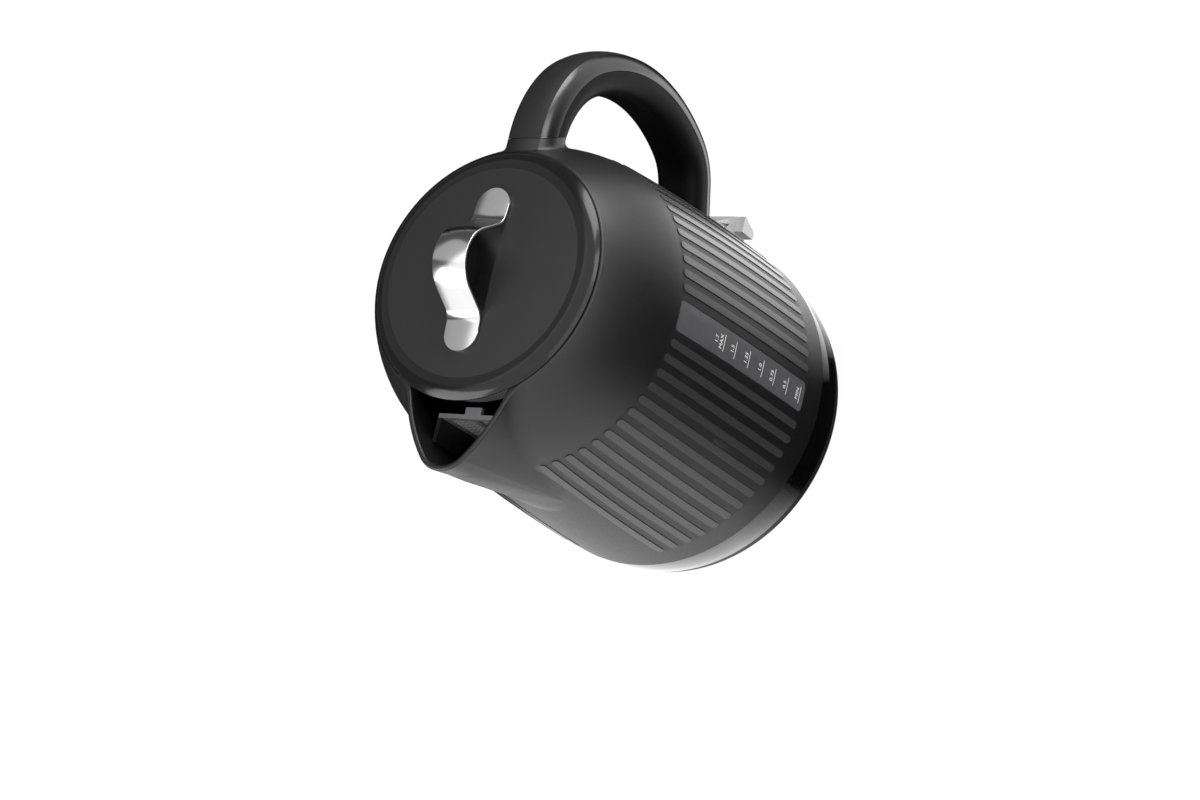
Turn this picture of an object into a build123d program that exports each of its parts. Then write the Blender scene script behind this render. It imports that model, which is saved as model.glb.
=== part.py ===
"""Electric jug kettle with a ribbed body, loop handle, lift-off lid and under-handle switch.

Millimetres. +Z is up and the origin is on the jug's axis in the plane that the foot stands on.
The spout points along -X, the handle along +X, and the water windows face -Y and +Y.
"""
import os
from math import asin, atan2, cos, degrees, hypot, radians, sin, sqrt

from build123d import *

os.makedirs("parts", exist_ok=True)

# Fits shared by all pieces
seat_gap = 0.05          # between fixed pieces that lie against each other
fit_gap = 0.1            # round fixed pieces that drop into an opening
running_gap = 0.05       # radial, between a pin and its bearing
moving_gap = 0.35        # between curved faces that pass each other

# Jug
belly_radius = 85.75
belly_height = 28.6
shoulder_inset = 5.65
shoulder_height = 148.0
seam_inset = 17.8
seam_height = 195.1
wall = 2.6
mouth_ledge = 4.0
neck_wall = 2.0
neck_depth = 9.0
seam_round = 0.6

# Gloss band and foot
band_bottom = 6.0
band_top = 24.8
band_thickness = 4.55
foot_taper = 4.25
foot_width = 2.5
base_plate_thickness = 3.0

# Ribs on the sides of the jug
rib_bottom = 40.2
rib_top = 151.4
rib_width = 3.8
rib_height = 0.35
rib_root = 0.8
rib_pitch = 5.28
first_rib_angle = 9.78
ribs_beside_window = 13

# Water windows
window_width = 15.2
window_corner = 2.0
window_thickness = 1.5
window_recess = 0.25
window_ledge = 2.0

# Spout
lip_overhang = 9.45
lip_tip_radius = 16.0
spout_foot_radius = 48.0
lip_tip_half_angle = 50.0
spout_foot_half_angle = 18.0
lip_flank_inset = 12.3
lip_flank_half_width = 31.4
spout_depth = 100.1
spout_foot_sink = 1.5
spout_foot_half_width = 21.0
spout_wall = 2.8
spout_floor_depth = 49.1
spout_blend = 12.0
lip_round = 1.1

# Filter in the spout
filter_inset = 20.75
filter_half_width = 19.0
filter_height = 33.0
filter_thickness = 2.2
filter_rim = 2.6
filter_floor_gap = 1.0
filter_tab_width = 9.0
filter_tab_reach = 3.5
filter_tab_height = 2.0
mesh_thickness = 0.35
mesh_hole = 1.55
mesh_pitch = 2.35
rail_overlap = 1.8
rail_thickness = 2.0
rail_depth = 12.0

# Loop handle: its outer face, followed from the top root round to the lower root
handle_drop = 3.05
handle_straight_inset = 12.7
handle_radius_shares = (0.3188, 0.4869, 0.2004)     # of the seam's height
handle_turns = (56.8, 119.8, 161.0)
handle_tail = 34.0
handle_start = 40.0
handle_width = 26.0
handle_depth = 19.6
handle_parting = 8.0
handle_parting_gap = 0.25
handle_crown = 1.9
inlay_half_width = 9.0
inlay_thickness = 1.2
inlay_recess = 0.15
handle_inner_round = 8.6
handle_wall = 2.5
collar_height = 5.0
collar_gap = 0.2
collar_blend = 3.0

# Lid
lid_crease_inset = 10.5
lid_crease_rise = 4.3
lid_dome_rise = 4.1
lid_wall = 2.4
lid_rim_width = 8.8
skirt_gap = 1.0
skirt_wall = 3.0
skirt_depth = 13.1
skirt_floor = 2.0
seal_drop = 7.6
seal_thickness = 3.0
seal_groove = 1.6
scoop_radius = 21.6
scoop_depth = 15.0
scoop_half_width = 9.4
scoop_wall = 2.2

# Steel strip on the lid
strip_width = 18.6
strip_thickness = 1.2
strip_crown = 0.9
strip_edge_round = 0.4
strip_half_length = 40.2
strip_seat_gap = 0.15
arch_radius = 16.9
arch_height = 22.7
arch_flank_slope = 58.0
arch_bend = 8.1
strip_screw_x = 33.0
strip_screw_radius = 1.5
strip_screw_head_radius = 2.8
strip_screw_head = 2.0

# Heating floor
ledge_bottom = 34.3
ledge_thickness = 5.0
plate_seal_thickness = 1.2
plate_thickness = 1.0
plate_seal_width = 4.0
plate_gap = 0.7
clamp_thickness = 3.0
clamp_width = 7.2
clamp_gap = 0.3
clamp_screw_inset = 1.6
clamp_screw_count = 6
clamp_screw_start = 30.0
clamp_screw_radius = 1.4
clamp_screw_head_radius = 2.4
clamp_screw_head = 1.5
clamp_screw_bite = 3.5
spreader_radius = 56.0
spreader_thickness = 2.5
element_circle = 46.0
element_tube_radius = 3.2
element_opening = 70.0
terminal_radius = 1.3
terminal_length = 9.0

# Control unit with its cordless socket
control_radius = 27.0
control_bottom = 2.5
socket_radius = 18.0
socket_depth = 16.0
socket_chamfer = 0.8
earth_pin_radius = 2.2
earth_pin_length = 12.5
contact_radii = (7.4, 12.4)
contact_wall = 0.8
contact_length = 11.5
bimetal_radius = 6.0
bimetal_thickness = 0.5
bimetal_x = 14.0
link_width = 5.0
link_thickness = 0.8

# Steam tube
tube_inset = 23.75
tube_y = 20.0
tube_radius = 4.0
tube_bore = 2.9
tube_drop = 27.1
tube_bottom = 24.0
steam_disc_radius = 6.5
steam_disc_thickness = 0.6
steam_disc_height = 20.0
steam_post_radius = 3.0

# Switch lever and trip rocker
lever_pivot_inset = 13.75
lever_pivot_z = 19.0
lever_pin_radius = 1.5
lever_hub_radius = 4.2
lever_hub_half_width = 8.0
lever_neck_height = 7.0
lever_tail_reach = 10.5
lever_tail_height = 2.2
lever_tail_half_width = 4.5
lever_web_half_width = 10.6
lever_pad_half_width = 15.5
lever_top_z = 40.2
lever_ridge_reach = 5.45
lever_tip_reach = 17.65
lever_tip_z = 19.0
lever_foot_z = 8.2
lever_foot_reach = 13.25
lever_body_gap = 2.6
lever_pad_thickness = 4.0
lever_round = 2.4
lever_hollow_corners = ((7.75, 34.5), (11.15, 24.4), (8.15, 26.3))
lever_hollow_depth = 1.6
slot_half_width = 9.2
slot_bottom = 11.0
slot_top = 23.8
ear_gap = 0.4
ear_thickness = 2.8
ear_half_length = 3.4
rocker_pivot_inset = 33.75
rocker_pin_radius = 1.2
rocker_hub_radius = 3.3
rocker_half_width = 5.5
rocker_reach = 11.5
rocker_thickness = 2.2
rocker_tail_gap = 0.6

# Base screws
base_screw_inset = 3.0
base_screw_count = 3
base_screw_start = 60.0
base_screw_radius = 1.6
base_screw_head_radius = 2.9
base_screw_head = 1.6
base_screw_length = 13.0
boss_radius = 4.6
boss_top = 22.0


# Radii worked out from the belly inwards
shoulder_radius = belly_radius - shoulder_inset
seam_radius = shoulder_radius - seam_inset
mouth_radius = seam_radius - mouth_ledge
band_inner_radius = belly_radius - band_thickness
foot_radius = belly_radius - foot_taper
skirt_outer_radius = band_inner_radius - fit_gap
skirt_inner_radius = skirt_outer_radius - wall
base_screw_circle = skirt_inner_radius - base_screw_inset
clamp_outer_radius = skirt_inner_radius - clamp_gap
clamp_inner_radius = clamp_outer_radius - clamp_width
clamp_screw_circle = clamp_outer_radius - clamp_screw_inset
plate_radius = clamp_screw_circle - clamp_screw_radius - plate_gap
ledge_inner_radius = plate_radius - plate_seal_width
lip_reach = belly_radius + lip_overhang
lip_flank_reach = seam_radius - lip_flank_inset
filter_x = filter_inset - belly_radius
tube_x = belly_radius - tube_inset
lever_pivot_x = belly_radius - lever_pivot_inset
rocker_pivot_x = belly_radius - rocker_pivot_inset

# Heights worked out from the seam downwards
spout_foot_height = seam_height - spout_depth
spout_floor_height = seam_height - spout_floor_depth
handle_top = seam_height - handle_drop
tube_top = seam_height - tube_drop

# Jug curve: one long belly arc and a tighter shoulder arc that runs on into it
belly_turn = 2 * atan2(belly_radius - shoulder_radius, shoulder_height - belly_height)
seam_lean = 2 * atan2(shoulder_radius - seam_radius, seam_height - shoulder_height) - belly_turn


def jug_points(growth):
    """Ends of the belly and shoulder arcs on a curve that runs parallel to the jug's outside."""
    return (
        (belly_radius + growth, belly_height),
        (shoulder_radius + growth * cos(belly_turn), shoulder_height + growth * sin(belly_turn)),
        (seam_radius + growth * cos(seam_lean), seam_height + growth * sin(seam_lean)),
    )


def jug_section(growth, low):
    """Half section of the jug from the height low to the seam, grown outwards by growth."""
    start, middle, end = jug_points(growth)
    with BuildSketch(Plane.XZ) as section:
        with BuildLine():
            belly = TangentArc(start, middle, tangent=(0, 1))
            TangentArc(middle, end, tangent=belly % 1)
            Polyline(end, (0, end[1]), (0, low), (start[0], low), start)
        make_face()
    return section.sketch


def jug_radius(height):
    """Outer radius of the jug on its belly arc."""
    rise = shoulder_height - belly_height
    arc = (rise**2 + (belly_radius - shoulder_radius) ** 2) / (2 * (belly_radius - shoulder_radius))
    return belly_radius - arc + sqrt(arc**2 - (height - belly_height) ** 2)


def revolved(section):
    """Solid that a half section sweeps out about the jug's axis."""
    with BuildPart() as solid:
        add(section)
        revolve(axis=Axis.Z)
    return solid.part


def jug_solid(growth, low=band_top):
    """The jug's outside as a full solid, grown by growth."""
    return revolved(jug_section(growth, low))


def ring(inner, outer, low, high):
    """Plain ring about the jug's axis."""
    with BuildPart() as hoop:
        with BuildSketch(Plane.XY.offset(low)):
            Circle(outer)
            if inner > 0:
                Circle(inner, mode=Mode.SUBTRACT)
        extrude(amount=high - low)
    return hoop.part


# Spout: its plan outline shrinks steadily from the lip down to a foot just inside the jug
spout_foot_reach = jug_radius(spout_foot_height) - spout_foot_sink
spout_root = seam_radius / 2


def spout_outline(height, inset):
    """Plan outline of the spout at one height, moved inwards by inset."""
    share = (height - spout_foot_height) / (seam_height - spout_foot_height)
    reach = spout_foot_reach + share * (lip_reach - spout_foot_reach)
    half_width = spout_foot_half_width + share * (lip_flank_half_width - spout_foot_half_width) - inset
    tip_radius = spout_foot_radius + share * (lip_tip_radius - spout_foot_radius)
    tip_half_angle = spout_foot_half_angle + share * (lip_tip_half_angle - spout_foot_half_angle)
    with BuildSketch(Plane.XY.offset(height)) as outline:
        with BuildLine():
            tip = CenterArc(
                (tip_radius - reach, 0), tip_radius - inset, 180 - tip_half_angle, 2 * tip_half_angle
            )
            left = TangentArc(tip @ 0, (-lip_flank_reach, half_width), tangent=(tip % 0) * -1)
            right = TangentArc(tip @ 1, (-lip_flank_reach, -half_width), tangent=tip % 1)
            Polyline(left @ 1, (-spout_root, half_width), (-spout_root, -half_width), right @ 1)
        make_face()
    return outline.sketch


def spout_solid(low, high, inset):
    """Spout between two heights, moved inwards by inset."""
    with BuildPart() as spout:
        add(spout_outline(low, inset))
        add(spout_outline(high, inset))
        loft(ruled=True)
    return spout.part


# Loop handle: one path for its outer face, and sections that hang inwards from that face
handle_start_plane = Plane(origin=(handle_start, 0, handle_top), x_dir=(0, 1, 0), z_dir=(1, 0, 0))
handle_straight_end = belly_radius - handle_straight_inset
handle_half_width = handle_width / 2
handle_radii = [share * seam_height for share in handle_radius_shares]
inlay_depth = inlay_recess + inlay_thickness

with BuildLine(Plane.XZ) as handle_path:
    handle_run = Line((handle_start, handle_top), (handle_straight_end, handle_top))
    turned = 0.0
    for radius, turn in zip(handle_radii, handle_turns):
        handle_run = JernArc(handle_run @ 1, handle_run % 1, radius, turned - turn)
        turned = turn
    Line(handle_run @ 1, handle_run @ 1 + (handle_run % 1) * handle_tail)


def handle_section():
    """Handle's section about its outer face: crowned top, creased round shoulders and a rounded grip."""
    with BuildSketch() as section:
        with BuildLine():
            right = TangentArc(
                (handle_half_width, -handle_parting), (inlay_half_width, 0), tangent=(0, 1)
            )
            left = TangentArc(
                (-handle_half_width, -handle_parting), (-inlay_half_width, 0), tangent=(0, 1)
            )
            ThreePointArc(right @ 1, (0, handle_crown), left @ 1)
            Polyline(
                left @ 0, (-handle_half_width, -handle_depth), (handle_half_width, -handle_depth), right @ 0
            )
        make_face()
        fillet(section.vertices().group_by(Axis.Y)[0], handle_inner_round)
    return section.sketch


def handle_core():
    """Hollow inside the handle's section, with the inlay's channel above it."""
    with BuildSketch() as core:
        add(handle_section())
        offset(amount=-handle_wall, mode=Mode.REPLACE)
        with Locations((0, -handle_wall)):
            Rectangle(handle_width, handle_depth, align=(Align.CENTER, Align.MAX), mode=Mode.INTERSECT)
        with Locations((0, handle_crown)):
            Rectangle(
                2 * inlay_half_width,
                handle_crown + inlay_depth + seat_gap,
                align=(Align.CENTER, Align.MAX),
            )
    return core.sketch


def handle_sweep(shallow, deep, half_width=handle_half_width, recess=0, hollow=False):
    """Slice of the handle between two depths below its outer face, over the whole path."""
    with BuildPart() as sweep_part:
        with BuildSketch(handle_start_plane):
            with Locations((0, -recess)):
                add(handle_section())
            if hollow:
                add(handle_core(), mode=Mode.SUBTRACT)
            with Locations((0, -shallow)):
                Rectangle(
                    2 * half_width, deep - shallow, align=(Align.CENTER, Align.MAX), mode=Mode.INTERSECT
                )
        sweep(path=handle_path.wire())
    return sweep_part.part


# Ribs and water windows: flat outlines on planes that stand round the jug
rib_length = rib_top - rib_bottom
rib_middle = (rib_top + rib_bottom) / 2


def side_plane(angle):
    """Upright plane through the jug's axis line, facing outwards at angle from -Y towards +X."""
    outwards = Vector(sin(radians(angle)), -cos(radians(angle)), 0)
    return Plane(origin=(0, 0, rib_middle), x_dir=(0, 0, 1), z_dir=outwards)


window_angles = (0, 180)

with BuildPart() as rib:
    with BuildSketch(side_plane(0)):
        SlotOverall(rib_length, rib_width)
    extrude(amount=belly_radius + 2 * rib_height)
    add(jug_solid(-rib_root), mode=Mode.SUBTRACT)
    add(jug_solid(rib_height), mode=Mode.INTERSECT)

ribs = []
for window_angle in window_angles:
    for side in (-1, 1):
        for index in range(ribs_beside_window):
            rib_angle = window_angle + side * (first_rib_angle + index * rib_pitch)
            ribs.append(rib.part.rotate(Axis.Z, rib_angle))


def window_prism(angle, inset):
    """Prism that runs outwards from the axis through one water window."""
    with BuildPart() as prism:
        with BuildSketch(side_plane(angle)):
            RectangleRounded(rib_length - 2 * inset, window_width - 2 * inset, window_corner)
        extrude(amount=belly_radius + wall)
    return prism.part


# Heights of the heating floor, from the ledge downwards
ledge_top = ledge_bottom + ledge_thickness
plate_top = ledge_bottom - plate_seal_thickness
plate_bottom = plate_top - plate_thickness
clamp_bottom = plate_bottom - clamp_thickness
spreader_bottom = plate_bottom - spreader_thickness
chamber_bottom = band_top + wall
filter_bottom = spout_floor_height + filter_floor_gap
filter_top = filter_bottom + filter_height

# Body shell: jug, spout, handle collars, ribs and the skirt behind the gloss band
window_depth = window_recess + window_thickness
clamp_screw_spots = PolarLocations(clamp_screw_circle, clamp_screw_count, clamp_screw_start)
base_screw_spots = PolarLocations(base_screw_circle, base_screw_count, base_screw_start)
lever_slot_length = belly_radius + wall

with BuildPart() as collars:
    add(handle_sweep(0, handle_depth))
    add(jug_solid(collar_height), mode=Mode.INTERSECT)

with BuildPart() as collar_crowns:
    add(handle_sweep(-handle_crown, handle_wall, inlay_half_width))
    add(jug_solid(collar_height), mode=Mode.INTERSECT)

with BuildPart() as filter_rails:
    add(jug_solid(-wall / 2))
    add(spout_solid(spout_foot_height, seam_height, spout_wall / 2))
    with BuildSketch(Plane.XY.offset(spout_floor_height - wall)):
        for side in (-1, 1):
            with Locations((filter_x, side * (filter_half_width - rail_overlap + rail_thickness / 2))):
                Rectangle(rail_depth, rail_thickness, align=(Align.MAX, Align.CENTER))
    extrude(amount=filter_top - spout_floor_height + wall, mode=Mode.INTERSECT)

with BuildPart() as body_shell:
    add(jug_solid(0))
    add(spout_solid(spout_foot_height, seam_height, 0))
    spout_joint = body_shell.edges(Select.NEW)
    fillet(spout_joint.filter_by_position(Axis.Z, 0, seam_height, (True, False)), spout_blend)
    add(collars.part)
    fillet(body_shell.edges(Select.NEW), collar_blend)
    add(collar_crowns.part)
    add(ring(0, skirt_outer_radius, band_bottom, band_top))
    add(jug_solid(-wall, chamber_bottom), mode=Mode.SUBTRACT)
    add(ring(0, skirt_inner_radius, band_bottom, chamber_bottom), mode=Mode.SUBTRACT)
    add(ring(0, mouth_radius, shoulder_height, seam_height), mode=Mode.SUBTRACT)
    add(ring(mouth_radius, mouth_radius + neck_wall, seam_height - neck_depth, seam_height))
    add(ring(ledge_inner_radius, belly_radius - wall / 2, ledge_bottom, ledge_top))
    with BuildSketch(Plane.XY.offset(band_bottom)):
        with base_screw_spots:
            Circle(boss_radius)
    extrude(amount=boss_top - band_bottom)
    add(ring(skirt_outer_radius, belly_radius, band_bottom, band_top), mode=Mode.SUBTRACT)
    add(spout_solid(spout_floor_height, seam_height + wall, spout_wall), mode=Mode.SUBTRACT)
    add(filter_rails.part)
    with BuildSketch(Plane.XY.offset(band_bottom)):
        with base_screw_spots:
            Circle(base_screw_radius + seat_gap)
    extrude(amount=base_screw_length, mode=Mode.SUBTRACT)
    with BuildSketch(Plane.XY.offset(ledge_bottom)):
        with clamp_screw_spots:
            Circle(clamp_screw_radius + seat_gap)
    extrude(amount=clamp_screw_bite + seat_gap, mode=Mode.SUBTRACT)
    with BuildSketch(Plane.YZ):
        with Locations((0, (slot_bottom + slot_top) / 2)):
            RectangleRounded(2 * slot_half_width, slot_top - slot_bottom, window_corner)
    extrude(amount=lever_slot_length, mode=Mode.SUBTRACT)
    for window_angle in window_angles:
        add(window_prism(window_angle, window_ledge), mode=Mode.SUBTRACT)
        add(window_prism(window_angle, 0) - jug_solid(-window_depth), mode=Mode.SUBTRACT)
    lip = body_shell.edges().filter_by_position(Axis.Z, seam_height, seam_height)
    fillet(lip.filter_by_position(Axis.X, -lip_reach, -seam_radius), lip_round)
    add(ribs)
body_shell.part.label = "body_shell"
export_step(body_shell.part, "parts/body_shell.step")

# Water windows, welded into their rebates from outside
for window_angle, window_name in zip(window_angles, ("water_window_left", "water_window_right")):
    with BuildPart() as water_window:
        add(window_prism(window_angle, fit_gap))
        add(jug_solid(-window_depth + seat_gap), mode=Mode.SUBTRACT)
        add(jug_solid(-window_recess), mode=Mode.INTERSECT)
    water_window.part.label = window_name
    export_step(water_window.part, f"parts/{window_name}.step")


def base_section(inner, low, high):
    """Half section of the foot's outside, between two heights and outside an inner radius."""
    with BuildSketch(Plane.XZ) as section:
        with BuildLine():
            flare = TangentArc((belly_radius, band_top), (foot_radius, 0), tangent=(0, -1))
            Polyline(flare @ 1, (0, 0), (0, band_top), flare @ 0)
        make_face()
        with Locations((inner, low)):
            Rectangle(belly_radius, high - low, align=(Align.MIN, Align.MIN), mode=Mode.INTERSECT)
    return section.sketch


# Gloss band, slipped over the skirt and held between the jug and the base cover
with BuildPart() as base_band:
    add(base_section(band_inner_radius, band_bottom, band_top))
    revolve(axis=Axis.Z)
    with BuildSketch(Plane.YZ):
        with Locations((0, (slot_bottom + slot_top) / 2)):
            RectangleRounded(2 * slot_half_width, slot_top - slot_bottom, window_corner)
    extrude(amount=lever_slot_length, mode=Mode.SUBTRACT)
base_band.part.label = "base_band"
export_step(base_band.part, "parts/base_band.step")

# Base cover with its foot ring, the ears of the lever and rocker pins and the steam disc's post
plate_underside = band_bottom - base_plate_thickness
lever_ear_y = lever_hub_half_width + ear_gap
rocker_ear_y = rocker_half_width + ear_gap
rocker_pivot_z = lever_pivot_z + lever_tail_height / 2 + rocker_tail_gap + rocker_thickness / 2

with BuildPart() as base_cover:
    add(base_section(0, 0, band_bottom))
    revolve(axis=Axis.Z)
    add(ring(0, foot_radius - foot_width, 0, plate_underside), mode=Mode.SUBTRACT)
    add(ring(0, control_radius + fit_gap, 0, band_bottom), mode=Mode.SUBTRACT)
    for pivot_x, pivot_z, ear_y, pin_radius in (
        (lever_pivot_x, lever_pivot_z, lever_ear_y, lever_pin_radius),
        (rocker_pivot_x, rocker_pivot_z, rocker_ear_y, rocker_pin_radius),
    ):
        for side in (-1, 1):
            with BuildSketch(Plane.XZ.offset(side * (ear_y + ear_thickness / 2))):
                with Locations((pivot_x, pivot_z)):
                    Circle(ear_half_length)
                with Locations((pivot_x, plate_underside)):
                    Rectangle(
                        2 * ear_half_length, pivot_z - plate_underside, align=(Align.CENTER, Align.MIN)
                    )
                with Locations((pivot_x, pivot_z)):
                    Circle(pin_radius + seat_gap, mode=Mode.SUBTRACT)
            extrude(amount=ear_thickness / 2, both=True)
    with BuildSketch(Plane.XY.offset(plate_underside)):
        with Locations((tube_x, tube_y)):
            Circle(steam_post_radius)
    extrude(amount=steam_disc_height - plate_underside)
    with BuildSketch(Plane.XY):
        with base_screw_spots:
            Circle(base_screw_radius + fit_gap)
    extrude(amount=band_bottom, mode=Mode.SUBTRACT)
    with BuildSketch(Plane.XY):
        with base_screw_spots:
            Circle(base_screw_head_radius + fit_gap)
    extrude(amount=plate_underside + base_screw_head, mode=Mode.SUBTRACT)
base_cover.part.label = "base_cover"
export_step(base_cover.part, "parts/base_cover.step")


def screws(spots, seat, direction, shank_radius, shank_length, head_radius, head_height):
    """Pan-head screws whose heads bear on the height seat and whose shanks run along direction."""
    with BuildPart() as group:
        with BuildSketch(Plane.XY.offset(seat)):
            with spots:
                Circle(shank_radius)
        extrude(amount=direction * shank_length)
        with BuildSketch(Plane.XY.offset(seat)):
            with spots:
                Circle(head_radius)
        extrude(amount=-direction * head_height)
    return group.part


base_screws = screws(
    base_screw_spots,
    plate_underside + base_screw_head,
    1,
    base_screw_radius,
    base_screw_length,
    base_screw_head_radius,
    base_screw_head,
)
base_screws.label = "base_screws"
export_step(base_screws, "parts/base_screws.step")

# Heating floor: seal, steel plate, clamp ring and its screws
with BuildPart() as plate_seal:
    add(ring(ledge_inner_radius, plate_radius, plate_top, ledge_bottom))
plate_seal.part.label = "plate_seal"
export_step(plate_seal.part, "parts/plate_seal.step")

with BuildPart() as element_plate:
    add(ring(0, plate_radius, plate_bottom, plate_top))
    with Locations((tube_x, tube_y, plate_top)):
        Hole(tube_radius + seat_gap)
element_plate.part.label = "element_plate"
export_step(element_plate.part, "parts/element_plate.step")

with BuildPart() as clamp_ring:
    add(ring(clamp_inner_radius, clamp_outer_radius, clamp_bottom, plate_bottom))
    with BuildSketch(Plane.XY.offset(clamp_bottom)):
        with clamp_screw_spots:
            Circle(clamp_screw_radius + fit_gap)
    extrude(amount=clamp_thickness, mode=Mode.SUBTRACT)
clamp_ring.part.label = "clamp_ring"
export_step(clamp_ring.part, "parts/clamp_ring.step")

clamp_screws = screws(
    clamp_screw_spots,
    clamp_bottom,
    1,
    clamp_screw_radius,
    ledge_bottom - clamp_bottom + clamp_screw_bite,
    clamp_screw_head_radius,
    clamp_screw_head,
)
clamp_screws.label = "clamp_screws"
export_step(clamp_screws, "parts/clamp_screws.step")

with BuildPart() as heat_spreader:
    add(ring(0, spreader_radius, spreader_bottom, plate_bottom))
heat_spreader.part.label = "heat_spreader"
export_step(heat_spreader.part, "parts/heat_spreader.step")

# Sheathed element, open towards the handle, with its terminal pins and the links to the control
element_z = spreader_bottom - element_tube_radius - seat_gap
element_plane = Plane.XY.offset(element_z)

with BuildPart() as heating_element:
    with BuildLine(element_plane) as element_path:
        CenterArc((0, 0), element_circle, element_opening / 2, 360 - element_opening)
    with BuildSketch(Plane(origin=element_path.wire() @ 0, z_dir=element_path.wire() % 0)):
        Circle(element_tube_radius)
    sweep(path=element_path.wire())
heating_element.part.label = "heating_element"
export_step(heating_element.part, "parts/heating_element.step")

with BuildPart() as element_terminals:
    for end, way in ((0, -1), (1, 1)):
        outwards = (element_path.wire() % end) * way
        with BuildSketch(Plane(origin=element_path.wire() @ end, z_dir=outwards)):
            Circle(terminal_radius)
        extrude(amount=terminal_length)
element_terminals.part.label = "element_terminals"
export_step(element_terminals.part, "parts/element_terminals.step")

link_angle = element_opening / 2 - degrees(atan2(terminal_length / 2, element_circle))
link_top = element_z - terminal_radius - seat_gap
link_reach = hypot(element_circle, terminal_length / 2) + terminal_radius

with BuildPart() as terminal_links:
    with BuildSketch(Plane.XY.offset(link_top - link_thickness)):
        for side in (-1, 1):
            with Locations(Rotation(0, 0, side * link_angle)):
                with Locations((control_radius + fit_gap, 0)):
                    Rectangle(
                        link_reach - control_radius, link_width, align=(Align.MIN, Align.CENTER)
                    )
    extrude(amount=link_thickness)
terminal_links.part.label = "terminal_links"
export_step(terminal_links.part, "parts/terminal_links.step")

# Control unit with its round socket, open downwards
socket_roof = control_bottom + socket_depth

with BuildPart() as control_unit:
    add(ring(0, control_radius, control_bottom, spreader_bottom))
    add(ring(0, socket_radius, control_bottom, socket_roof), mode=Mode.SUBTRACT)
    with BuildSketch(Plane.XY.offset(spreader_bottom)):
        with Locations((-bimetal_x, 0), (bimetal_x, 0)):
            Circle(bimetal_radius + fit_gap)
    extrude(amount=-(bimetal_thickness + seat_gap), mode=Mode.SUBTRACT)
    socket_mouth = control_unit.faces().sort_by(Axis.Z)[0].edges().sort_by(SortBy.RADIUS)[0]
    chamfer(socket_mouth, socket_chamfer)
control_unit.part.label = "control_unit"
export_step(control_unit.part, "parts/control_unit.step")

with BuildPart() as earth_pin:
    add(ring(0, earth_pin_radius, socket_roof - earth_pin_length, socket_roof))
    fillet(earth_pin.edges().sort_by(Axis.Z)[0], earth_pin_radius / 2)
earth_pin.part.label = "earth_pin"
export_step(earth_pin.part, "parts/earth_pin.step")

with BuildPart() as contact_rings:
    for contact_radius in contact_radii:
        add(ring(contact_radius - contact_wall, contact_radius, socket_roof - contact_length, socket_roof))
contact_rings.part.label = "contact_rings"
export_step(contact_rings.part, "parts/contact_rings.step")

with BuildPart() as bimetal_discs:
    with BuildSketch(Plane.XY.offset(spreader_bottom)):
        with Locations((-bimetal_x, 0), (bimetal_x, 0)):
            Circle(bimetal_radius)
    extrude(amount=-bimetal_thickness)
bimetal_discs.part.label = "bimetal_discs"
export_step(bimetal_discs.part, "parts/bimetal_discs.step")

# Steam path: tube from under the lid down to a disc beside the rocker
with BuildPart() as steam_tube:
    with BuildSketch(Plane.XY.offset(tube_bottom)):
        with Locations((tube_x, tube_y)):
            Circle(tube_radius)
            Circle(tube_bore, mode=Mode.SUBTRACT)
    extrude(amount=tube_top - tube_bottom)
steam_tube.part.label = "steam_tube"
export_step(steam_tube.part, "parts/steam_tube.step")

with BuildPart() as steam_bimetal:
    with BuildSketch(Plane.XY.offset(steam_disc_height)):
        with Locations((tube_x, tube_y)):
            Circle(steam_disc_radius)
    extrude(amount=steam_disc_thickness)
steam_bimetal.part.label = "steam_bimetal"
export_step(steam_bimetal.part, "parts/steam_bimetal.step")

# Handle covers, cut back to the collars on the jug
collar_clearance = jug_solid(collar_height + collar_gap)

with BuildPart() as handle_outer_cover:
    add(handle_sweep(-handle_crown, handle_parting - handle_parting_gap / 2, hollow=True))
    add(collar_clearance, mode=Mode.SUBTRACT)
handle_outer_cover.part.label = "handle_outer_cover"
export_step(handle_outer_cover.part, "parts/handle_outer_cover.step")

with BuildPart() as handle_inner_cover:
    add(handle_sweep(handle_parting + handle_parting_gap / 2, handle_depth, hollow=True))
    add(collar_clearance, mode=Mode.SUBTRACT)
handle_inner_cover.part.label = "handle_inner_cover"
export_step(handle_inner_cover.part, "parts/handle_inner_cover.step")

with BuildPart() as handle_inlay:
    add(handle_sweep(-handle_crown, inlay_depth, inlay_half_width - fit_gap, inlay_recess))
    add(collar_clearance, mode=Mode.SUBTRACT)
handle_inlay.part.label = "handle_inlay"
export_step(handle_inlay.part, "parts/handle_inlay.step")

# Switch lever: sloping web, wide thumb pad, neck through the skirt, hub and tail
lever_inner_x = belly_radius + lever_body_gap
lever_foot_inner_x = lever_inner_x + lever_body_gap / 2
lever_ridge_x = belly_radius + lever_ridge_reach
lever_tip_x = belly_radius + lever_tip_reach
lever_foot_x = belly_radius + lever_foot_reach
lever_hollow = [(belly_radius + out, height) for out, height in lever_hollow_corners]
neck_bottom = lever_pivot_z - lever_neck_height / 2


def lever_outline():
    """Side outline of the lever outside the jug."""
    with BuildSketch() as outline:
        with BuildLine():
            Polyline(
                (lever_inner_x, neck_bottom),
                (lever_inner_x, lever_top_z - lever_round),
                (lever_ridge_x, lever_top_z),
                (lever_tip_x, lever_tip_z),
                (lever_foot_x, lever_foot_z),
                (lever_foot_inner_x, lever_foot_z),
                (lever_inner_x, neck_bottom),
            )
        make_face()
        fillet(outline.vertices().sort_by(Axis.X)[-2:], lever_round)
        fillet(outline.vertices().sort_by(Axis.Y)[-1], lever_round)
    return outline.sketch


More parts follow.
